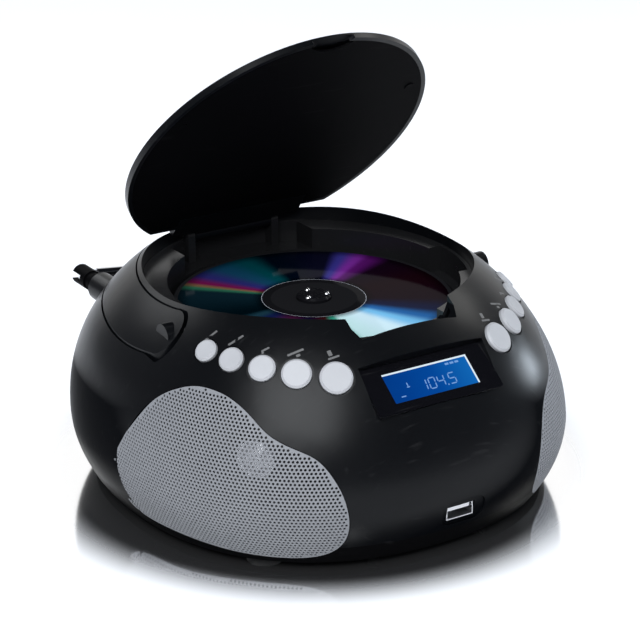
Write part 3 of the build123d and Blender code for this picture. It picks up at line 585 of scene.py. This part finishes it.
def makeGrille(name, node, mirrored):
    # lengths along the curved sheet stand for the flat sheet's own u and v
    shape = grilleShape
    sTable = np.linspace(-62, 62, 249) * mm
    zTable = np.linspace(2, 76, 149) * mm
    across = grilleSurface(sTable, np.full_like(sTable, shape["centre"][1]))
    upward = grilleSurface(np.full_like(zTable, shape["centre"][0]), zTable)
    lengthS = np.concatenate([[0], np.cumsum(np.linalg.norm(np.diff(across, axis=0), axis=1))])
    lengthZ = np.concatenate([[0], np.cumsum(np.linalg.norm(np.diff(upward, axis=0), axis=1))])
    edge = smoothOutline(np.asarray(shape["outline"]) * mm, 14)
    edge = np.stack([np.interp(edge[:, 0], sTable, lengthS), np.interp(edge[:, 1], zTable, lengthZ)], -1)
    tangent = np.roll(edge, -1, 0) - np.roll(edge, 1, 0)
    tangent /= np.linalg.norm(tangent, axis=1, keepdims=True)
    edge = edge + shape["edgeGap"] * np.stack([tangent[:, 1], -tangent[:, 0]], -1)
    low, high = edge.min(0), edge.max(0)
    step = shape["pitch"]
    rows = np.arange(int((high[1] - low[1]) / (step * 0.866)) + 2)
    columns = np.arange(int((high[0] - low[0]) / step) + 2)
    r, c = np.meshgrid(rows, columns, indexing="ij")
    centres = np.stack([low[0] + (c + 0.5 * (r % 2)) * step, low[1] + r * step * 0.866], -1)
    centres = centres.reshape(-1, 2)
    centres = centres[insideOutline(centres, edge)]
    centres = centres[edgeDistance(centres, edge) > shape["hole"] + shape["border"]]
    turn = 2 * math.pi * (np.arange(shape["sides"]) + 0.5) / shape["sides"]
    ring = shape["hole"] * np.stack([np.cos(turn), np.sin(turn)], -1)
    holes = (centres[:, None] + ring[None]).reshape(-1, 2)
    flat = np.concatenate([edge, holes])
    countEdge, sides = len(edge), shape["sides"]
    links = [(i, (i + 1) % countEdge) for i in range(countEdge)]
    for h in range(len(centres)):
        start = countEdge + h * sides
        links += [(start + k, start + (k + 1) % sides) for k in range(sides)]
    made = geometry.delaunay_2d_cdt([tuple(v) for v in (flat / mm).tolist()], links, [], 0, 1e-6, False)
    points = np.asarray([tuple(v) for v in made[0]]) * mm
    faces = np.asarray([f for f in made[2] if len(f) == 3])
    middle = points[faces].mean(1)
    keep = insideOutline(middle, edge)
    for start in range(0, len(middle), 4000):
        part = slice(start, start + 4000)
        nearest = np.linalg.norm(middle[part, None] - centres[None], axis=-1).min(1)
        keep[part] &= nearest > shape["hole"] * 0.86
    faces = faces[keep]
    s = np.interp(points[:, 0], lengthS, sTable)
    z = np.interp(points[:, 1], lengthZ, zTable)
    front = grilleSurface(s, z)
    front = front - 0.06 * mm * surfaceNormal(front)
    back = front - shape["thickness"] * surfaceNormal(front)
    a, b, d = points[faces[:, 0]], points[faces[:, 1]], points[faces[:, 2]]
    area = (b[:, 0] - a[:, 0]) * (d[:, 1] - a[:, 1]) - (b[:, 1] - a[:, 1]) * (d[:, 0] - a[:, 0])
    faces = np.where(area[:, None] > 0, faces, faces[:, ::-1])
    sidesOf = np.concatenate([faces[:, [0, 1]], faces[:, [1, 2]], faces[:, [2, 0]]])
    key = np.sort(sidesOf, axis=1)
    _, first, count = np.unique(key, axis=0, return_index=True, return_counts=True)
    rim = sidesOf[first[count == 1]]
    total = len(points)
    walls = np.stack([rim[:, 1], rim[:, 0], rim[:, 0] + total, rim[:, 1] + total], -1)
    everything = np.concatenate([front, back])
    frontFaces, backFaces = faces, faces[:, ::-1] + total
    if mirrored:
        everything = everything * np.array([-1.0, 1.0, 1.0])
        frontFaces, backFaces, walls = frontFaces[:, ::-1], backFaces[:, ::-1], walls[:, ::-1]
    piece = addMesh(name, everything, [frontFaces, backFaces, walls], "base",
                    finishes["grille_metal"])
    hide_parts(node)
    print("grille", name, len(centres), "holes", len(frontFaces) * 2 + len(walls) * 2, "triangles")
    return piece


makeGrille("leftGrilleSheet", "left_grille", False)
makeGrille("rightGrilleSheet", "right_grille", True)


# Display face: lit area, its bright edges and the figures, just above the window

displayShape = {
    "centre": (0.0, -87.0 * mm, 71.6 * mm),
    "tilt": 37.3,
    "lit": (41.0 * mm, 13.7 * mm),
    "corner": 0.4 * mm,
    "lift": 0.03 * mm,
    "edge": 0.75 * mm,
    "digits": "1045",
    "digitHeight": 4.8 * mm,
    "digitWidth": 2.9 * mm,
    "digitStep": 4.3 * mm,
    "stroke": 0.50 * mm,
    "slant": 0.12,
    "firstDigit": (-6.4 * mm, -4.3 * mm),
}


def onDisplay(u, v, lift):
    # u to the right and v up the slope of the display, lift outwards
    tilt = math.radians(displayShape["tilt"])
    up = np.array([0.0, math.cos(tilt), math.sin(tilt)])
    out = np.array([0.0, -math.sin(tilt), math.cos(tilt)])
    centre = np.array(displayShape["centre"])
    u, v = np.asarray(u, float), np.asarray(v, float)
    return centre + u[..., None] * np.array([1.0, 0.0, 0.0]) + v[..., None] * up + lift * out


def flatPlates(name, outlines, low, high, body, material, place):
    # each outline, a list of flat points turning left, becomes a thin plate from low to high
    points, faces, start = [], [], 0
    for loop in outlines:
        loop = np.asarray(loop, float)
        n = len(loop)
        points += [place(loop[:, 0], loop[:, 1], low), place(loop[:, 0], loop[:, 1], high)]
        i = np.arange(n)
        j = (i + 1) % n
        faces.append(np.stack([i, j, j + n, i + n], -1) + start)
        faces.append((np.arange(n) + n + start)[None])
        faces.append((np.arange(n)[::-1] + start)[None])
        start += 2 * n
    return addMesh(name, np.concatenate(points), faces, body, material)


def roundedLoop(width, height, corner, steps=6, centre=(0.0, 0.0)):
    # rectangle with quarter circles at its corners, turning left
    t = np.linspace(0, math.pi / 2, steps)
    loops = []
    for k, (sx, sy) in enumerate(((1, 1), (-1, 1), (-1, -1), (1, -1))):
        a = t + k * math.pi / 2
        loops.append(np.stack([sx * (width / 2 - corner) + corner * np.cos(a) + centre[0],
                               sy * (height / 2 - corner) + corner * np.sin(a) + centre[1]], -1))
    return np.concatenate(loops)


segmentPlaces = {  # middle of each stroke in shares of width and height, and whether it lies flat
    "a": (0.5, 1.0, True), "b": (1.0, 0.75, False), "c": (1.0, 0.25, False), "d": (0.5, 0.0, True),
    "e": (0.0, 0.25, False), "f": (0.0, 0.75, False), "g": (0.5, 0.5, True),
}
segmentsOf = {"0": "abcdef", "1": "bc", "4": "bcfg", "5": "acdfg"}


def strokeLoop(u, v, length, flat):
    # a bar with pointed ends, turning left
    half, w = length / 2, displayShape["stroke"] / 2
    bar = np.array([(-half, 0), (-half + w, -w), (half - w, -w),
                    (half, 0), (half - w, w), (-half + w, w)])
    if not flat:
        bar = np.stack([-bar[:, 1], bar[:, 0]], -1)
    bar = bar + (u, v)
    bar[:, 0] += displayShape["slant"] * (bar[:, 1] - displayShape["firstDigit"][1])
    return bar


def makeDisplay():
    # seven bar figures, a point and small icons on the lit plate, whose top and right edges glow
    shape = displayShape
    width, height = shape["lit"]
    lit = roundedLoop(width, height, shape["corner"])
    flatPlates("displayLight", [lit], 0.0, shape["lift"], "base", finishes["lit_panel"],
               onDisplay)
    ink = litInk("figureWhite", (0.17, 0.36, 0.74), 1.0)
    bars = []
    u0, v0 = shape["firstDigit"]
    w, h = shape["digitWidth"], shape["digitHeight"]
    for place, digit in enumerate(shape["digits"]):
        shift = 1.1 * mm if place == 3 else 0.0
        for letter in segmentsOf[digit]:
            px, py, flat = segmentPlaces[letter]
            length = (w if flat else h / 2) - 0.25 * mm
            u = u0 + place * shape["digitStep"] + shift + px * w
            bars.append(strokeLoop(u, v0 + py * h, length, flat))
    dot = roundedLoop(0.6 * mm, 0.6 * mm, 0.1 * mm, 3, (u0 + 3 * shape["digitStep"] - 0.1 * mm, v0))
    bars.append(dot)
    icons = [(-11.5, -1.0, 1.4, 0.5), (-11.5, 0.2, 0.5, 1.6), (10.2, 4.7, 1.8, 0.9),
             (12.6, 4.7, 1.8, 0.9), (15.0, 4.7, 1.8, 0.9), (-15.6, -4.6, 2.2, 0.5)]
    bars += [roundedLoop(a * mm, b * mm, 0.1 * mm, 3, (u * mm, v * mm)) for u, v, a, b in icons]
    flatPlates("displayFigures", bars, shape["lift"], 2 * shape["lift"], "base", ink,
               onDisplay)
    glow = litInk("edgeGlow", (0.80, 0.92, 1.0), 1.0)
    edge = shape["edge"]
    top = roundedLoop(width, edge, 0.1 * mm, 3, (0, height / 2 - edge / 2))
    right = roundedLoop(edge, height - edge, 0.1 * mm, 3, (width / 2 - edge / 2, -edge / 2))
    flatPlates("displayEdgeLight", [top, right], shape["lift"], 2 * shape["lift"], "base",
               glow, onDisplay)
    print("display made")


makeDisplay()


# Printed marks behind the keys

keyRows = [  # angle from the front, height and diameter in millimetres
    (26.2, 77.9, 13.4), (36.2, 79.4, 12.2), (45.2, 80.5, 11.0), (54.1, 81.8, 10.2), (62.4, 82.7, 9.4),
]
markShape = {
    "gap": 2.0 * mm,
    "above": 2.0 * mm,
    "corner": 0.3 * mm,
    "sunk": 0.01 * mm,
    "thickness": 0.04 * mm,
    "colour": (0.085, 0.085, 0.085),
}


def onBody(angle, height):
    # surface point at that height in a direction measured from the front
    a = math.radians(angle)
    direction = np.array([math.sin(a), -math.cos(a), 0.0])
    middleY = bodyShape["centreY"] + bodyShape["leanBack"] * (height - bodyShape["widestZ"])
    start = np.array([0.0, middleY, height])
    return start + reachSurface(start[None], direction, 0.02, 0.14)[0] * direction


def bodyPatch(centre):
    # the way a line of text runs there, as +X laid on the surface, its upright and the normal
    normal = surfaceNormal(centre[None])[0]
    along = np.array([1.0, 0.0, 0.0]) - normal[0] * normal
    along /= np.linalg.norm(along)
    return along, np.cross(normal, along), normal


def uphill(normal):
    # steepest way up the surface
    up = np.array([0.0, 0.0, 1.0]) - normal[2] * normal
    return up / np.linalg.norm(up)


def makeMarks():
    # each bar is laid flat behind its key, then dropped along the surface's normal onto the body
    marks = []
    icons = [
        [(-0.6, 1.2, 7.0, 1.0)],
        [(0.6, 2.0, 7.4, 1.0)],
        [(0.4, 1.0, 3.6, 0.9), (-1.2, 0.2, 1.0, 1.0)],
        [(0.0, 1.8, 7.2, 1.0), (0.4, 0.0, 1.8, 1.1)],
        [(0.2, 0.4, 5.0, 0.9), (-0.6, 2.8, 1.7, 2.6)],
    ]
    for side in (-1, 1):
        for (angle, height, diameter), bars in zip(keyRows, icons[::-1]):
            centre = onBody(side * angle, height * mm)
            along, upright, out = bodyPatch(centre)
            reach = diameter / 2 * mm + markShape["gap"]
            middle = centre + reach * uphill(out) + markShape["above"] * out
            for u, v, w, h in bars:
                flat = roundedLoop(w * mm, h * mm, markShape["corner"], 3, (u * mm, v * mm))
                marks.append(middle + flat[:, :1] * along + flat[:, 1:] * upright)
    points, faces, start = [], [], 0
    for spots in marks:
        normal = surfaceNormal(spots)
        depth = snapDepth(spots, normal)
        base = spots - depth[:, None] * normal
        n = len(base)
        points += [base - markShape["sunk"] * normal, base + markShape["thickness"] * normal]
        i = np.arange(n)
        j = (i + 1) % n
        walls = np.stack([i, j, j + n, i + n], -1) + start
        faces += [walls, (i + n + start)[None], (i[::-1] + start)[None]]
        start += 2 * n
    ink = plastic("markGrey", {"colour": markShape["colour"], "rough": 0.5, "bump": 0.1, "marks": 0.6})
    addMesh("keyMarks", np.concatenate(points), faces, "base", ink)
    print("marks made", len(marks))


def snapDepth(points, normal):
    # how far down its normal each point is from the surface, by halving
    low, high = np.full(len(points), -0.004), np.full(len(points), 0.008)
    for _ in range(40):
        middle = (low + high) / 2
        outside = bodyValue(points - middle[:, None] * normal) > 1
        low, high = np.where(outside, middle, low), np.where(outside, high, middle)
    return (low + high) / 2


makeMarks()


# Floor, light and camera

stageLook = {
    "floorSize": 9.0,
    "camera": (-0.5069, -0.7940, 0.4399),
    "azimuth": -32.714,
    "elevation": 21.546,
    "lens": 132.7,
    "floorDark": (0.90, 0.90, 0.90),
    "floorLight": (0.93, 0.93, 0.93),
    "mirrorRough": (0.09, 0.12),
    "floorGloss": 0.985,
    "glossFade": (0.107, 0.138),
    "skyColour": (0.80, 0.86, 1.0, 1),
    "skyLight": 0.45,
    "upward": [(0.0, (1, 1, 1)), (0.50, (1, 1, 1)), (0.72, (0.03, 0.033, 0.04))],
    "backWay": (0.54, 0.84),
    "backward": [(0.0, (0.16, 0.165, 0.18)), (0.66, (0.22, 0.225, 0.24)), (0.80, (1, 1, 1))],
}


def makeFloor():
    # white matt floor that turns into a polished one round the object's foot, by distance from the middle
    half = stageLook["floorSize"] / 2
    corners = [(-half, -half, 0.0), (half, -half, 0.0), (half, half, 0.0), (-half, half, 0.0)]
    mesh = bpy.data.meshes.new("floor")
    mesh.from_pydata(corners, [], [(0, 1, 2, 3)])
    floor = bpy.data.objects.new("floor", mesh)
    bpy.context.scene.collection.objects.link(floor)
    material, tree, shader, place = startMaterial("floorWhite")
    tree.nodes.remove(shader)
    cloud = noiseNode(tree, place, 3.0, 2.0, 0.5)
    matt = tree.nodes.new("ShaderNodeBsdfDiffuse")
    white = rampNode(tree, cloud, [(0, stageLook["floorDark"]), (1, stageLook["floorLight"])])
    tree.links.new(white, matt.inputs["Color"])
    mirror = tree.nodes.new("ShaderNodeBsdfGlossy")
    mirror.inputs["Color"].default_value = (1, 1, 1, 1)
    tree.links.new(rangeOf(tree, cloud, *stageLook["mirrorRough"]), mirror.inputs["Roughness"])
    length = tree.nodes.new("ShaderNodeVectorMath")
    length.operation = "LENGTH"
    tree.links.new(place, length.inputs[0])
    fade = rangeOf(tree, length.outputs["Value"], stageLook["floorGloss"], 0.0, *stageLook["glossFade"])
    both = tree.nodes.new("ShaderNodeMixShader")
    tree.links.new(fade, both.inputs[0])
    tree.links.new(matt.outputs[0], both.inputs[1])
    tree.links.new(mirror.outputs[0], both.inputs[2])
    tree.links.new(both.outputs[0], tree.nodes["Material Output"].inputs[0])
    mesh.materials.append(material)


def makeWorld():
    # even light for matt surfaces; mirrors see white low down and behind, dark overhead and in front
    world = bpy.data.worlds.new("studio")
    bpy.context.scene.world = world
    world.use_nodes = True
    tree = world.node_tree
    tree.nodes.clear()
    out = tree.nodes.new("ShaderNodeOutputWorld")
    path = tree.nodes.new("ShaderNodeLightPath")
    plain = tree.nodes.new("ShaderNodeBackground")
    plain.inputs["Color"].default_value = stageLook["skyColour"]
    plain.inputs["Strength"].default_value = stageLook["skyLight"]
    place = tree.nodes.new("ShaderNodeTexCoord").outputs["Generated"]
    split = tree.nodes.new("ShaderNodeSeparateXYZ")
    tree.links.new(place, split.inputs[0])
    band = rampNode(tree, split.outputs["Z"], stageLook["upward"])
    alongX, alongY = stageLook["backWay"]
    behind = mathNode(tree, "ADD", mathNode(tree, "MULTIPLY", split.outputs["X"], alongX),
                      mathNode(tree, "MULTIPLY", split.outputs["Y"], alongY))
    side = rampNode(tree, behind, stageLook["backward"])
    tone = mixColour(tree, 1.0, band, side, "MULTIPLY")
    seen = mixColour(tree, path.outputs["Is Camera Ray"], tone, (1.0, 1.0, 1.0))
    shown = tree.nodes.new("ShaderNodeBackground")
    tree.links.new(seen, shown.inputs["Color"])
    pick = mathNode(tree, "MAXIMUM", path.outputs["Is Camera Ray"], path.outputs["Is Glossy Ray"])
    pick = mathNode(tree, "MAXIMUM", pick, path.outputs["Is Transmission Ray"])
    mix = tree.nodes.new("ShaderNodeMixShader")
    tree.links.new(pick, mix.inputs[0])
    tree.links.new(plain.outputs[0], mix.inputs[1])
    tree.links.new(shown.outputs[0], mix.inputs[2])
    tree.links.new(mix.outputs[0], out.inputs[0])


lamps = [  # name, place, target, width, height, watts, colour
    ("keySoftbox", (-0.80, -0.95, 1.35), (0, 0, 0.06), 1.3, 1.3, 46.0, (0.94, 0.97, 1.0)),
    ("rearSoftbox", (-0.25, 1.25, 1.0), (0, 0, 0.06), 1.0, 0.6, 6.0, (0.96, 0.98, 1.0)),
    ("rightSoftbox", (1.35, -0.10, 0.26), (0, 0, 0.06), 0.24, 0.24, 5.0, (0.80, 0.90, 1.0)),
    ("shoulderSoftbox", (1.18, 0.05, 1.05), (0, 0, 0.08), 0.50, 0.40, 3.2, (1.0, 1.0, 0.97)),
]


def makeLamps():
    # each rectangle faces its target: back is the unit way from target to lamp, up stays nearly upright
    for name, place, target, width, height, watts, colour in lamps:
        light = bpy.data.lights.new(name, "AREA")
        light.shape = "RECTANGLE"
        light.size = width
        light.size_y = height
        light.energy = watts
        light.color = colour
        lamp = bpy.data.objects.new(name, light)
        bpy.context.scene.collection.objects.link(lamp)
        back = np.asarray(place, float) - np.asarray(target, float)
        back /= np.linalg.norm(back)
        right = np.cross([0.0, 0.0, 1.0], back)
        right /= np.linalg.norm(right)
        up = np.cross(back, right)
        lamp.matrix_world = lookMatrix(place, right, up, back)


def lookMatrix(place, right, up, back):
    # columns are the three axes and the place
    rows = [[right[i], up[i], back[i], place[i]] for i in range(3)]
    return Matrix(rows + [[0, 0, 0, 1]])


def makeCamera():
    # azimuth turns about Z from the front, elevation lifts the camera, back points away from the object
    a, e = math.radians(stageLook["azimuth"]), math.radians(stageLook["elevation"])
    right = np.array([math.cos(a), math.sin(a), 0.0])
    back = np.array([math.sin(a) * math.cos(e), -math.cos(a) * math.cos(e), math.sin(e)])
    up = np.cross(back, right)
    data = bpy.data.cameras.new("camera")
    data.lens = stageLook["lens"]
    data.sensor_width = 36.0
    data.clip_start = 0.01
    camera = bpy.data.objects.new("camera", data)
    bpy.context.scene.collection.objects.link(camera)
    camera.matrix_world = lookMatrix(stageLook["camera"], right, up, back)
    bpy.context.scene.camera = camera


makeFloor()
makeWorld()
makeLamps()
makeCamera()
bpy.context.scene.view_settings.view_transform = "Standard"
print("stage made")

bpy.context.view_layer.update()
